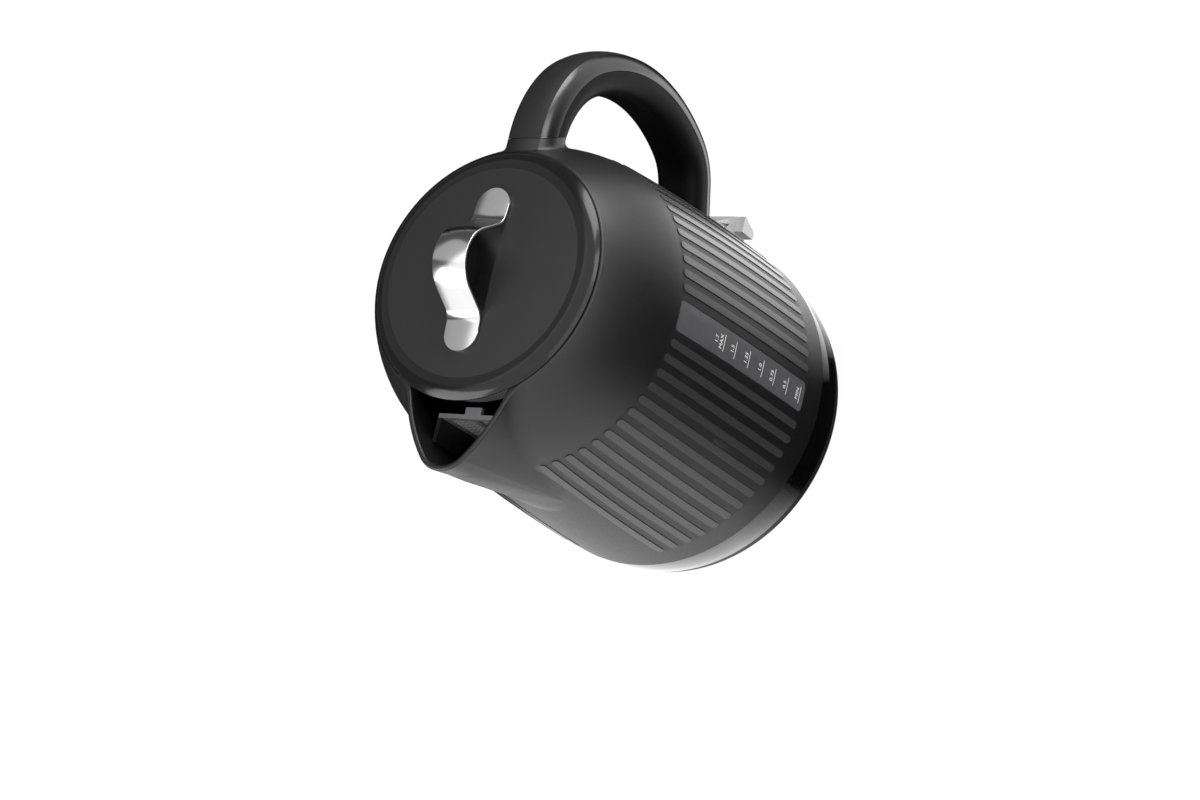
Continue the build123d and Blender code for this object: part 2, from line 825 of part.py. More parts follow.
with BuildPart() as switch_lever:
    with BuildSketch(Plane.XZ):
        add(lever_outline())
    extrude(amount=lever_web_half_width, both=True)
    for side in (-1, 1):
        with BuildSketch(Plane.XZ.offset(side * lever_web_half_width)):
            add(lever_outline())
            with Locations((lever_tip_x, lever_foot_z)):
                Rectangle(
                    lever_tip_x - lever_foot_x + lever_pad_thickness,
                    lever_tip_z - lever_foot_z,
                    align=(Align.MAX, Align.MIN),
                    mode=Mode.INTERSECT,
                )
        extrude(amount=side * (lever_pad_half_width - lever_web_half_width))
        with BuildSketch(Plane.XZ.offset(side * lever_web_half_width)):
            Polygon(*lever_hollow, align=None)
        extrude(amount=-side * lever_hollow_depth, mode=Mode.SUBTRACT)
    with BuildSketch(Plane.XZ):
        with Locations((lever_pivot_x, lever_pivot_z)):
            Circle(lever_hub_radius)
            Rectangle(lever_inner_x - lever_pivot_x, lever_neck_height, align=(Align.MIN, Align.CENTER))
    extrude(amount=lever_hub_half_width, both=True)
    with BuildSketch(Plane.XZ):
        with Locations((lever_pivot_x, lever_pivot_z)):
            Rectangle(lever_tail_reach, lever_tail_height, align=(Align.MAX, Align.CENTER))
    extrude(amount=lever_tail_half_width, both=True)
    with BuildSketch(Plane.XZ):
        with Locations((lever_pivot_x, lever_pivot_z)):
            Circle(lever_pin_radius + running_gap)
    extrude(amount=lever_hub_half_width, both=True, mode=Mode.SUBTRACT)
switch_lever.part.label = "switch_lever"
export_step(switch_lever.part, "parts/switch_lever.step")

with BuildPart() as trip_rocker:
    with BuildSketch(Plane.XZ):
        with Locations((rocker_pivot_x, rocker_pivot_z)):
            Circle(rocker_hub_radius)
            Rectangle(2 * rocker_reach, rocker_thickness)
            Circle(rocker_pin_radius + running_gap, mode=Mode.SUBTRACT)
    extrude(amount=rocker_half_width, both=True)
trip_rocker.part.label = "trip_rocker"
export_step(trip_rocker.part, "parts/trip_rocker.step")

for pin_name, pivot_x, pivot_z, ear_y, pin_radius in (
    ("lever_pin", lever_pivot_x, lever_pivot_z, lever_ear_y, lever_pin_radius),
    ("rocker_pin", rocker_pivot_x, rocker_pivot_z, rocker_ear_y, rocker_pin_radius),
):
    with BuildPart() as pivot_pin:
        with BuildSketch(Plane.XZ):
            with Locations((pivot_x, pivot_z)):
                Circle(pin_radius)
        extrude(amount=ear_y + ear_thickness, both=True)
    pivot_pin.part.label = pin_name
    export_step(pivot_pin.part, f"parts/{pin_name}.step")

# Filter: frame with a finger tab, and its mesh
mesh_half_width = filter_half_width - filter_rim
mesh_height = filter_height - 2 * filter_rim
filter_plane = Plane(origin=(filter_x, 0, filter_bottom), x_dir=(0, 1, 0), z_dir=(1, 0, 0))

with BuildPart() as filter_frame:
    with BuildSketch(filter_plane):
        Rectangle(2 * filter_half_width, filter_height, align=(Align.CENTER, Align.MIN))
        with Locations((0, filter_rim)):
            Rectangle(2 * mesh_half_width, mesh_height, align=(Align.CENTER, Align.MIN), mode=Mode.SUBTRACT)
        with Locations((0, filter_rim)):
            Rectangle(filter_rim, mesh_height, align=(Align.CENTER, Align.MIN))
    extrude(amount=filter_thickness)
    with BuildSketch(filter_plane.offset(filter_thickness)):
        with Locations((0, filter_height)):
            Rectangle(filter_tab_width, filter_tab_height, align=(Align.CENTER, Align.MAX))
    extrude(amount=filter_tab_reach)
filter_frame.part.label = "filter_frame"
export_step(filter_frame.part, "parts/filter_frame.step")

mesh_columns = int((mesh_half_width - filter_rim / 2) / mesh_pitch)
mesh_rows = int(mesh_height / mesh_pitch)
mesh_panel_width = mesh_half_width - filter_rim / 2

with BuildPart() as filter_mesh:
    with BuildSketch(filter_plane.offset(filter_thickness / 2)):
        for side in (-1, 1):
            panel_y = side * (mesh_half_width + filter_rim / 2) / 2
            with Locations((panel_y, filter_rim + mesh_height / 2)):
                Rectangle(mesh_panel_width - 2 * seat_gap, mesh_height - 2 * seat_gap)
                with GridLocations(mesh_pitch, mesh_pitch, mesh_columns, mesh_rows):
                    Rectangle(mesh_hole, mesh_hole, mode=Mode.SUBTRACT)
    extrude(amount=mesh_thickness)
filter_mesh.part.label = "filter_mesh"
export_step(filter_mesh.part, "parts/filter_mesh.step")


def above(centre_z, radius, angle):
    """Point on a circle centred on the lid's axis, at angle from straight up towards +X."""
    return (radius * sin(angle), centre_z + radius * cos(angle))


# Lid top: shallow dome, rounded rim that carries on the jug's shoulder, and the finger scoop
lid_crease_radius = seam_radius - lid_crease_inset
lid_crease_height = seam_height + lid_crease_rise
lid_rim_inner_radius = seam_radius - lid_rim_width
lid_dome_radius = (lid_crease_radius**2 + lid_dome_rise**2) / (2 * lid_dome_rise)
lid_top_height = lid_crease_height + lid_dome_rise
dome_centre_z = lid_top_height - lid_dome_radius
scoop_centre_z = lid_top_height - scoop_depth + scoop_radius
under_edge_angle = asin((lid_rim_inner_radius - lid_wall) / lid_dome_radius)

with BuildPart() as lid_top:
    with BuildSketch(Plane.XZ):
        with BuildLine():
            rim = TangentArc(
                (seam_radius, seam_height),
                (lid_crease_radius, lid_crease_height),
                tangent=(-sin(seam_lean), cos(seam_lean)),
            )
            dome = RadiusArc(rim @ 1, (0, lid_top_height), -lid_dome_radius)
            under = RadiusArc(
                (0, lid_top_height - lid_wall),
                above(dome_centre_z - lid_wall, lid_dome_radius, under_edge_angle),
                lid_dome_radius,
            )
            Line(dome @ 1, under @ 0)
            Polyline(under @ 1, (lid_rim_inner_radius, seam_height), rim @ 0)
        make_face()
    revolve(axis=Axis.Z)
    rim_edges = lid_top.edges().filter_by(GeomType.CIRCLE).group_by(Axis.Z)[0]
    fillet(rim_edges.sort_by(SortBy.RADIUS)[-1], seam_round)
    with BuildSketch(Plane.XZ):
        with Locations((0, scoop_centre_z)):
            Circle(scoop_radius + scoop_wall)
        with Locations((0, lid_top_height - lid_wall)):
            Rectangle(
                4 * scoop_radius, 4 * scoop_radius, align=(Align.CENTER, Align.MIN), mode=Mode.SUBTRACT
            )
    extrude(amount=scoop_half_width + scoop_wall, both=True)
    with BuildSketch(Plane.XZ):
        with Locations((0, scoop_centre_z)):
            Circle(scoop_radius)
    extrude(amount=scoop_half_width, both=True, mode=Mode.SUBTRACT)
    with Locations((-strip_screw_x, 0, lid_top_height), (strip_screw_x, 0, lid_top_height)):
        Hole(strip_screw_radius + fit_gap)
lid_top.part.label = "lid_top"
export_step(lid_top.part, "parts/lid_top.step")

# Lid skirt: a cup under the lid with a groove for the seal
skirt_radius = mouth_radius - skirt_gap
skirt_bottom = seam_height - skirt_depth
seal_height = seam_height - seal_drop
groove_radius = skirt_radius - seal_groove

with BuildPart() as lid_skirt:
    add(ring(0, skirt_radius, skirt_bottom, seam_height))
    add(ring(0, skirt_radius - skirt_wall, skirt_bottom + skirt_floor, seam_height), mode=Mode.SUBTRACT)
    add(ring(groove_radius, skirt_radius, seal_height, seal_height + seal_thickness), mode=Mode.SUBTRACT)
lid_skirt.part.label = "lid_skirt"
export_step(lid_skirt.part, "parts/lid_skirt.step")

with BuildPart() as lid_seal:
    add(
        ring(
            groove_radius + seat_gap,
            mouth_radius - moving_gap,
            seal_height + seat_gap,
            seal_height + seal_thickness - seat_gap,
        )
    )
    seal_lips = lid_seal.edges().filter_by(GeomType.CIRCLE).sort_by(SortBy.RADIUS)[-2:]
    fillet(seal_lips, mouth_radius - moving_gap - skirt_radius)
lid_seal.part.label = "lid_seal"
export_step(lid_seal.part, "parts/lid_seal.step")

# Steel strip: tabs that follow the dome, a bend at each foot, and an arch with straight flanks over the scoop
strip_middle = strip_seat_gap + strip_thickness / 2
strip_half_width = strip_width / 2
tab_radius = lid_dome_radius + strip_middle
arch_top = lid_top_height + arch_height
arch_centre_z = arch_top - strip_crown - strip_thickness / 2 - arch_radius
arch_rise = arch_centre_z - dome_centre_z
flank_angle = radians(arch_flank_slope)
flank_high_x, flank_high_z = above(arch_centre_z, arch_radius, flank_angle)
bend_reach = arch_radius + arch_bend
flank_drop = sqrt((tab_radius + arch_bend) ** 2 - (bend_reach + arch_rise * cos(flank_angle)) ** 2)
flank_length = arch_rise * sin(flank_angle) - flank_drop
flank_low_x = flank_high_x + flank_length * cos(flank_angle)
flank_low_z = flank_high_z - flank_length * sin(flank_angle)
bend_x = bend_reach * sin(flank_angle) + flank_length * cos(flank_angle)
bend_up = arch_rise + bend_reach * cos(flank_angle) - flank_length * sin(flank_angle)
bend_angle = atan2(bend_x, bend_up)
tab_end_angle = asin(strip_half_length / tab_radius)
side_view = Plane.XZ.from_local_coords

with BuildPart() as lid_strip:
    with BuildLine(Plane.XZ) as strip_path:
        run = RadiusArc(
            above(dome_centre_z, tab_radius, -tab_end_angle),
            above(dome_centre_z, tab_radius, -bend_angle),
            tab_radius,
        )
        run = TangentArc(run @ 1, side_view((-flank_low_x, flank_low_z)), tangent=run % 1)
        run = Line(run @ 1, side_view((-flank_high_x, flank_high_z)))
        run = TangentArc(run @ 1, side_view((flank_high_x, flank_high_z)), tangent=run % 1)
        run = Line(run @ 1, side_view((flank_low_x, flank_low_z)))
        for angle in (bend_angle, tab_end_angle):
            bend_end = side_view(above(dome_centre_z, tab_radius, angle))
            run = TangentArc(run @ 1, bend_end, tangent=run % 1)
    strip_start = strip_path.wire()
    with BuildSketch(Plane(origin=strip_start @ 0, x_dir=(0, 1, 0), z_dir=strip_start % 0)) as strip_section:
        with BuildLine():
            crown = ThreePointArc(
                (strip_half_width, strip_thickness / 2),
                (0, strip_thickness / 2 + strip_crown),
                (-strip_half_width, strip_thickness / 2),
            )
            Polyline(
                crown @ 1,
                (-strip_half_width, -strip_thickness / 2),
                (strip_half_width, -strip_thickness / 2),
                crown @ 0,
            )
        make_face()
        fillet(strip_section.vertices(), strip_edge_round)
    sweep(path=strip_path.wire())
    with BuildSketch(Plane.XY):
        SlotOverall(2 * strip_half_length, strip_width)
    extrude(amount=arch_top + strip_thickness, mode=Mode.INTERSECT)
lid_strip.part.label = "lid_strip"
export_step(lid_strip.part, "parts/lid_strip.step")

# Screws that hold the strip from below
strip_screw_seat = above(dome_centre_z - lid_wall, lid_dome_radius, asin(strip_screw_x / lid_dome_radius))[1]
strip_screw_end = above(dome_centre_z, lid_dome_radius, asin(strip_screw_x / lid_dome_radius))[1]
strip_screw_slope = strip_screw_head_radius * strip_screw_x / lid_dome_radius + seat_gap

strip_screws = screws(
    Locations((-strip_screw_x, 0), (strip_screw_x, 0)),
    strip_screw_seat - strip_screw_slope,
    1,
    strip_screw_radius,
    strip_screw_end - strip_screw_seat + strip_screw_slope,
    strip_screw_head_radius,
    strip_screw_head,
)
strip_screws.label = "strip_screws"
export_step(strip_screws, "parts/strip_screws.step")
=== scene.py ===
"""Looks of an electric jug kettle: finishes for its CAD pieces, printed volume marks and a studio.

Metres in the CAD frame: +Z is up, the origin is on the jug's axis in the plane of the foot,
the spout points along -X and the handle along +X.
"""
from math import cos, radians, sin, sqrt

import bmesh
import bpy
from mathutils import Matrix, Vector


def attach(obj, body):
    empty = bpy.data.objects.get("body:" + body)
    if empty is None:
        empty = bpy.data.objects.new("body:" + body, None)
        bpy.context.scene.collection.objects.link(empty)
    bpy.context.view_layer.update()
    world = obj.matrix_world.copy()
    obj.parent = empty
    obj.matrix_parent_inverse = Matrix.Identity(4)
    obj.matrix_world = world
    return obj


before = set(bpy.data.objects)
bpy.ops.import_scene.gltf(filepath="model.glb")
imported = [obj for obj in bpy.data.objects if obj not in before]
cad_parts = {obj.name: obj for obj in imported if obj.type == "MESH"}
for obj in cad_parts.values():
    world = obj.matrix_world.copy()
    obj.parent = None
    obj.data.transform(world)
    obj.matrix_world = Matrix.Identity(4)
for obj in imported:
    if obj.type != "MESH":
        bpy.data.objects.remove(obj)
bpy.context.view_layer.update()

MM = 0.001

# Sockets of the Mix node by place, because those for numbers and colours share their names
FACTOR, NUMBER_A, NUMBER_B, COLOUR_A, COLOUR_B = 0, 2, 3, 6, 7
MIXED_NUMBER, MIXED_COLOUR = 0, 2

# Jug curve of the CAD model, which the printed marks follow, and the rib finish with its painted highlight
# on the rib faces and painted shade in the grooves
BELLY_RADIUS = 85.75 * MM
BELLY_HEIGHT = 28.6 * MM
SHOULDER_RADIUS = 80.1 * MM
SHOULDER_HEIGHT = 148.0 * MM
BELLY_RISE = SHOULDER_HEIGHT - BELLY_HEIGHT
BELLY_DROP = BELLY_RADIUS - SHOULDER_RADIUS
BELLY_ARC = (BELLY_RISE**2 + BELLY_DROP**2) / (2 * BELLY_DROP)
RIB_BOTTOM = 40.2 * MM
RIB_TOP = 151.4 * MM
RIB_HEIGHT = 0.35 * MM
RIB_SPREAD = sin(radians(75))
WINDOW_RECESS = 0.25 * MM
LID_CREASE_RADIUS = 51.8 * MM
LID_CREASE_BLUR = 0.1 * MM

# Printed marks on the water windows: height above the foot, words, and whether a line runs under them
MARKS = (
    (120.2 * MM, "1.7", False),
    (116.4 * MM, "MAX", True),
    (106.8 * MM, "1.5", True),
    (94.8 * MM, "1.25", True),
    (82.3 * MM, "1.0", True),
    (71.2 * MM, "0.75", True),
    (58.9 * MM, "0.5", True),
    (46.7 * MM, "MIN", True),
)
LETTER_HEIGHT = 3.3 * MM
LETTER_STEPS = 3
MARK_LINE = (8.4 * MM, 0.35 * MM)
MARK_LINE_DROP = 2.5 * MM
MARK_LINE_CUTS = 7
PRINT_LIFT = 0.04 * MM
PRINT_THICKNESS = 0.02 * MM

# Sizes of the patterns in the finishes. The moulded grain would be about 0.3 mm and is drawn three times as
# coarse so that it shows.
GRAIN = 0.9 * MM
CLOUD_SIZE = 60 * MM
WAVE_SIZE = 9 * MM
SPECK_SIZE = 1.5 * MM
HAZE_SIZE = 4 * MM
THREAD_SIZE = 0.8 * MM

# Typical of moulded ABS and of nylon
PLASTIC_IOR = 1.53

# Camera of the photograph: its place, turn and lens
CAMERA_PLACE = Vector((-431.2, -869.4, 1305.5)) * MM
CAMERA_AZIMUTH = radians(25.27)
CAMERA_DIP = radians(51.78)
CAMERA_ROLL = radians(56.37)
CAMERA_LENS = 96.04
SENSOR_WIDTH = 36.0

# Studio: sizes, levels of light and the points that the lamps face
CARD_STEPS = 48
FLOOR_RADIUS = 12.0
FLOOR_SEGMENTS = 64
FLOOR_GLOW_SHARE = 0.9
FLOOR_GLOW = 1.03
FLOOR_GLOSS_EXTRA = 0.35
WORLD_FILL = 0.32
BACKDROP_LEVEL = 1.0
FRONT_LEVEL = 1.5
BEHIND_LEVEL = 0.1
BEHIND_WAY = (0.438, 0.899, 0.0)
BEHIND_EDGE = 0.39
BEHIND_EDGE_BLUR = 0.03
BLACK_CARD_LEVEL = 0.005
BRIGHT_CARD_LEVEL = 2.4
KETTLE_MIDDLE = (0.0, 0.0, 0.11)
LID_MIDDLE = (0.0, 0.0, 0.2)
SPOUT_MOUTH = (-0.08, 0.0, 0.18)


def linear(colour):
    """Linear RGBA of an sRGB hex colour."""
    shares = [int(colour[place : place + 2], 16) / 255 for place in (1, 3, 5)]
    return tuple(s / 12.92 if s <= 0.04045 else ((s + 0.055) / 1.055) ** 2.4 for s in shares) + (1.0,)


def add_node(tree, kind, inputs=None, **settings):
    """A node with its settings, and with its inputs set to values or linked from other sockets."""
    made = tree.nodes.new(kind)
    for name, value in settings.items():
        setattr(made, name, value)
    for name, value in (inputs or {}).items():
        if isinstance(value, bpy.types.NodeSocket):
            tree.links.new(value, made.inputs[name])
        else:
            made.inputs[name].default_value = value
    return made


def bare_tree(block):
    """The emptied node tree of a material or the world."""
    block.use_nodes = True
    block.node_tree.nodes.clear()
    return block.node_tree


def new_material(name):
    """A node material and its shader, already joined to the output."""
    material = bpy.data.materials.new(name)
    tree = bare_tree(material)
    shader = add_node(tree, "ShaderNodeBsdfPrincipled")
    add_node(tree, "ShaderNodeOutputMaterial", {"Surface": shader.outputs["BSDF"]})
    return material, shader


def set_inputs(shader, **values):
    """Values that are the same all over a surface, straight on the shader's own sockets."""
    for name, value in values.items():
        shader.inputs[name.replace("_", " ")].default_value = value


def moulded_plastic(name, dark, light, smooth, rough, relief, specular=0.5):
    """Plastic from a spark-eroded mould: an even fine grain that softens the shine, and faint clouds."""
    material, shader = new_material(name)
    tree = material.node_tree
    place = add_node(tree, "ShaderNodeTexCoord").outputs["Object"]
    fine = add_node(tree, "ShaderNodeTexNoise", {"Vector": place, "Scale": 1 / GRAIN, "Detail": 2.0})
    cloud = add_node(tree, "ShaderNodeTexNoise", {"Vector": place, "Scale": 1 / CLOUD_SIZE, "Detail": 3.0})
    tone = add_node(
        tree,
        "ShaderNodeMix",
        {FACTOR: cloud.outputs["Fac"], COLOUR_A: linear(dark), COLOUR_B: linear(light)},
        data_type="RGBA",
    )
    shine = add_node(
        tree,
        "ShaderNodeMapRange",
        {"Value": fine.outputs["Fac"], "From Min": 0.3, "From Max": 0.7, "To Min": smooth, "To Max": rough},
    )
    bump = add_node(
        tree, "ShaderNodeBump", {"Height": fine.outputs["Fac"], "Distance": relief, "Strength": 1.0}
    )
    tree.links.new(tone.outputs[MIXED_COLOUR], shader.inputs["Base Color"])
    tree.links.new(shine.outputs["Result"], shader.inputs["Roughness"])
    tree.links.new(bump.outputs["Normal"], shader.inputs["Normal"])
    set_inputs(shader, IOR=PLASTIC_IOR, Specular_IOR_Level=specular)
    return material


def overlay(tree, mask, colour, roughness):
    """A second colour and shine on a moulded plastic wherever the mask is 1."""
    shader = next(n for n in tree.nodes if n.type == "BSDF_PRINCIPLED")
    tone = shader.inputs["Base Color"].links[0].from_socket
    shine = shader.inputs["Roughness"].links[0].from_socket
    toned = add_node(
        tree,
        "ShaderNodeMix",
        {FACTOR: mask, COLOUR_A: tone, COLOUR_B: linear(colour)},
        data_type="RGBA",
    )
    shone = add_node(tree, "ShaderNodeMix", {FACTOR: mask, NUMBER_A: shine, NUMBER_B: roughness})
    tree.links.new(toned.outputs[MIXED_COLOUR], shader.inputs["Base Color"])
    tree.links.new(shone.outputs[MIXED_NUMBER], shader.inputs["Roughness"])


def axis_distance(tree, place):
    """Distance of a place from the jug's axis, as a socket."""
    flat = add_node(tree, "ShaderNodeVectorMath", {0: place, 1: (1.0, 1.0, 0.0)}, operation="MULTIPLY")
    length = add_node(tree, "ShaderNodeVectorMath", {0: flat.outputs["Vector"]}, operation="LENGTH")
    return length.outputs["Value"]


def rimmed_plastic(name, ground, rim):
    """The lid's moulded ABS with a polished rim outside its crease."""
    material = moulded_plastic(name, *ground)
    tree = material.node_tree
    radius = axis_distance(tree, add_node(tree, "ShaderNodeTexCoord").outputs["Object"])
    mask = add_node(
        tree,
        "ShaderNodeMapRange",
        {
            "Value": radius,
            "From Min": LID_CREASE_RADIUS - LID_CREASE_BLUR,
            "From Max": LID_CREASE_RADIUS + LID_CREASE_BLUR,
        },
    )
    overlay(tree, mask.outputs["Result"], *rim)
    return material


def ribbed_plastic(name, ground, groove_shade, rib):
    """The jug's moulded ABS with painted light in its rib band: the rib faces are smoother and made paler
    as a painted highlight, and the grooves between them are rougher and made darker as painted shade.
    """
    material = moulded_plastic(name, *ground)
    tree = material.node_tree
    place = add_node(tree, "ShaderNodeTexCoord").outputs["Object"]
    parts = add_node(tree, "ShaderNodeSeparateXYZ", {"Vector": place})
    radius = axis_distance(tree, place)
    rise = add_node(tree, "ShaderNodeMath", {0: parts.outputs["Z"], 1: BELLY_HEIGHT}, operation="SUBTRACT")
    square = add_node(
        tree, "ShaderNodeMath", {0: rise.outputs[0], 1: rise.outputs[0]}, operation="MULTIPLY"
    )
    under = add_node(tree, "ShaderNodeMath", {0: BELLY_ARC**2, 1: square.outputs[0]}, operation="SUBTRACT")
    reach = add_node(tree, "ShaderNodeMath", {0: under.outputs[0]}, operation="SQRT")
    proud = add_node(tree, "ShaderNodeMath", {0: radius, 1: reach.outputs[0]}, operation="SUBTRACT")
    face = add_node(
        tree,
        "ShaderNodeMapRange",
        {
            "Value": proud.outputs[0],
            "From Min": BELLY_RADIUS - BELLY_ARC + 0.4 * RIB_HEIGHT,
            "From Max": BELLY_RADIUS - BELLY_ARC + 0.8 * RIB_HEIGHT,
        },
    )
    middle = add_node(
        tree,
        "ShaderNodeMath",
        {0: parts.outputs["Z"], 1: (RIB_BOTTOM + RIB_TOP) / 2, 2: (RIB_TOP - RIB_BOTTOM) / 2 + MM},
        operation="COMPARE",
    )
    turn = add_node(tree, "ShaderNodeMath", {0: parts.outputs["X"], 1: radius}, operation="DIVIDE")
    side = add_node(
        tree, "ShaderNodeMath", {0: turn.outputs[0], 1: 0.0, 2: RIB_SPREAD}, operation="COMPARE"
    )
    band = add_node(
        tree, "ShaderNodeMath", {0: middle.outputs[0], 1: side.outputs[0]}, operation="MULTIPLY"
    )
    mask = add_node(
        tree, "ShaderNodeMath", {0: face.outputs["Result"], 1: band.outputs[0]}, operation="MULTIPLY"
    )
    # Painted shade: the whole rib band turns darker and rougher, which leaves the grooves darker. A painted
    # highlight then makes the rib faces paler and smoother.
    overlay(tree, band.outputs[0], *groove_shade)
    overlay(tree, mask.outputs[0], *rib)
    return material


def polished_plastic(name, colour, roughness, coat):
    """Gloss-moulded ABS: a clear deep surface with the slight waviness of a flow-moulded skin."""
    material, shader = new_material(name)
    tree = material.node_tree
    place = add_node(tree, "ShaderNodeTexCoord").outputs["Object"]
    wave = add_node(tree, "ShaderNodeTexNoise", {"Vector": place, "Scale": 1 / WAVE_SIZE, "Detail": 1.0})
    speck = add_node(tree, "ShaderNodeTexNoise", {"Vector": place, "Scale": 1 / SPECK_SIZE, "Detail": 2.0})
    shine = add_node(
        tree,
        "ShaderNodeMapRange",
        {"Value": speck.outputs["Fac"], "To Min": 0.7 * roughness, "To Max": 1.4 * roughness},
    )
    bump = add_node(
        tree, "ShaderNodeBump", {"Height": wave.outputs["Fac"], "Distance": 0.02 * MM, "Strength": 0.5}
    )
    tree.links.new(shine.outputs["Result"], shader.inputs["Roughness"])
    tree.links.new(bump.outputs["Normal"], shader.inputs["Normal"])
    set_inputs(shader, Base_Color=linear(colour), IOR=1.5, Coat_Weight=coat, Coat_Roughness=0.04)
    return material


def brushed_metal(name, dark, light, roughness, line, stretch=None):
    """Rolled or brushed metal: fine lines along one way, or turned round the axis without a stretch."""
    material, shader = new_material(name)
    tree = material.node_tree
    place = add_node(tree, "ShaderNodeTexCoord").outputs["Object"]
    if stretch:
        lines = add_node(tree, "ShaderNodeMapping", {"Vector": place, "Scale": stretch})
    else:
        parts = add_node(tree, "ShaderNodeSeparateXYZ", {"Vector": place})
        lines = add_node(
            tree, "ShaderNodeCombineXYZ", {"X": axis_distance(tree, place), "Z": parts.outputs["Z"]}
        )
    brush = add_node(
        tree, "ShaderNodeTexNoise", {"Vector": lines.outputs[0], "Scale": 1 / line, "Detail": 4.0}
    )
    tone = add_node(
        tree,
        "ShaderNodeMix",
        {FACTOR: brush.outputs["Fac"], COLOUR_A: linear(dark), COLOUR_B: linear(light)},
        data_type="RGBA",
    )
    shine = add_node(
        tree,
        "ShaderNodeMapRange",
        {"Value": brush.outputs["Fac"], "To Min": 0.8 * roughness, "To Max": 1.2 * roughness},
    )
    bump = add_node(
        tree, "ShaderNodeBump", {"Height": brush.outputs["Fac"], "Distance": 0.004 * MM, "Strength": 0.6}
    )
    tree.links.new(tone.outputs[MIXED_COLOUR], shader.inputs["Base Color"])
    tree.links.new(shine.outputs["Result"], shader.inputs["Roughness"])
    tree.links.new(bump.outputs["Normal"], shader.inputs["Normal"])
    set_inputs(shader, Metallic=1.0)
    return material


def smoked_window(name):
    """Smoke-tinted copolyester: a hazy grey sheet that lets a little light through and hides the inside."""
    material, shader = new_material(name)
    tree = material.node_tree
    place = add_node(tree, "ShaderNodeTexCoord").outputs["Object"]
    haze = add_node(tree, "ShaderNodeTexNoise", {"Vector": place, "Scale": 1 / HAZE_SIZE, "Detail": 3.0})
    tone = add_node(
        tree,
        "ShaderNodeMix",
        {FACTOR: haze.outputs["Fac"], COLOUR_A: linear("#5C5C5E"), COLOUR_B: linear("#68686A")},
        data_type="RGBA",
    )
    tree.links.new(tone.outputs[MIXED_COLOUR], shader.inputs["Base Color"])
    set_inputs(shader, IOR=1.57, Roughness=0.22, Transmission_Weight=0.35)
    return material


def woven_nylon(name):
    """Nylon monofilament: pale and slightly waxy, a little uneven from thread to thread."""
    material, shader = new_material(name)
    tree = material.node_tree
    place = add_node(tree, "ShaderNodeTexCoord").outputs["Object"]
    thread = add_node(
        tree, "ShaderNodeTexNoise", {"Vector": place, "Scale": 1 / THREAD_SIZE, "Detail": 2.0}
    )
    tone = add_node(
        tree,
        "ShaderNodeMix",
        {FACTOR: thread.outputs["Fac"], COLOUR_A: linear("#8E8E8C"), COLOUR_B: linear("#BDBDBA")},
        data_type="RGBA",
    )
    tree.links.new(tone.outputs[MIXED_COLOUR], shader.inputs["Base Color"])
    set_inputs(shader, Roughness=0.45, IOR=PLASTIC_IOR)
    return material


# Finishes. A moulded one has its dark and light tone, least and most roughness, relief and specular level.
# Body finish: ground tones, then the darker painted shade of the grooves, then the paler painted highlight
# of the rib faces
body_abs = ribbed_plastic(
    "satin_moulded_abs_ribbed",
    ("#111112", "#161617", 0.38, 0.46, 0.012 * MM, 0.5),
    ("#101011", 0.5),
    ("#353536", 0.27),
)
lid_abs = rimmed_plastic(
    "satin_moulded_abs_lid",
    ("#222223", "#292929", 0.38, 0.48, 0.006 * MM, 0.3),
    ("#1B1B1C", 0.15),
)
# The lid skirt's grey is partly painted light: it is made much paler than the lid's ABS so that it shows
# lit in the shade under the rim
skirt_abs_with_painted_light = moulded_plastic("satin_moulded_abs_skirt", "#4A4A4C", "#545456", 0.36, 0.46, 0.01 * MM)
handle_abs = moulded_plastic(
    "satin_moulded_abs_handle", "#171718", "#1D1D1E", 0.2, 0.27, 0.004 * MM, 0.55
)
inlay_abs = moulded_plastic("soft_matt_abs_inlay", "#1F1F20", "#252526", 0.45, 0.55, 0.01 * MM, 0.22)
grip_abs = moulded_plastic("matt_moulded_abs_grip", "#0B0B0C", "#0F0F10", 0.42, 0.52, 0.01 * MM, 0.06)
foot_abs = moulded_plastic("matt_moulded_abs_foot", "#242425", "#2C2C2D", 0.5, 0.62, 0.015 * MM, 0.2)
# The filter frame's grey is partly painted light: it is made paler so that it shows lit in the shade inside
# the spout
filter_pp_with_painted_light = moulded_plastic("moulded_polypropylene_filter", "#77777A", "#838386", 0.38, 0.5, 0.008 * MM)
control_pbt = moulded_plastic(
    "moulded_glass_filled_polyester", "#8F8B84", "#A09C95", 0.45, 0.6, 0.02 * MM
)
tube_pp = moulded_plastic("moulded_black_polypropylene", "#2A2A2B", "#343435", 0.4, 0.5, 0.008 * MM)
seal_rubber = moulded_plastic("moulded_silicone_rubber", "#5A5A5B", "#6A6A6B", 0.55, 0.7, 0.01 * MM, 0.35)
switch_abs = moulded_plastic("silver_metallised_abs", "#B6B6B6", "#C4C4C4", 0.28, 0.34, 0.001 * MM)
band_gloss = polished_plastic("gloss_black_abs_band", "#060607", 0.07, 1.0)
strip_steel = brushed_metal(
    "satin_brushed_stainless_strip", "#D6D6D6", "#E2E2E2", 0.2, 0.35 * MM, (0.03, 1.0, 1.0)
)
plate_steel = brushed_metal("turned_stainless_plate", "#8C8C8C", "#A5A5A5", 0.28, 0.5 * MM)
aluminium = brushed_metal("pressed_aluminium", "#B4B4B6", "#C8C8CA", 0.38, 0.8 * MM, (1.0, 0.1, 1.0))
zinc_steel = brushed_metal("zinc_plated_steel", "#8F9092", "#ABACAE", 0.3, 0.6 * MM, (1.0, 1.0, 1.0))
stamped_brass = brushed_metal("stamped_brass", "#B08A45", "#C9A35A", 0.27, 0.5 * MM, (1.0, 1.0, 0.2))
rolled_bimetal = brushed_metal("rolled_bimetal", "#8E7A62", "#A08B70", 0.34, 0.5 * MM, (0.1, 1.0, 1.0))
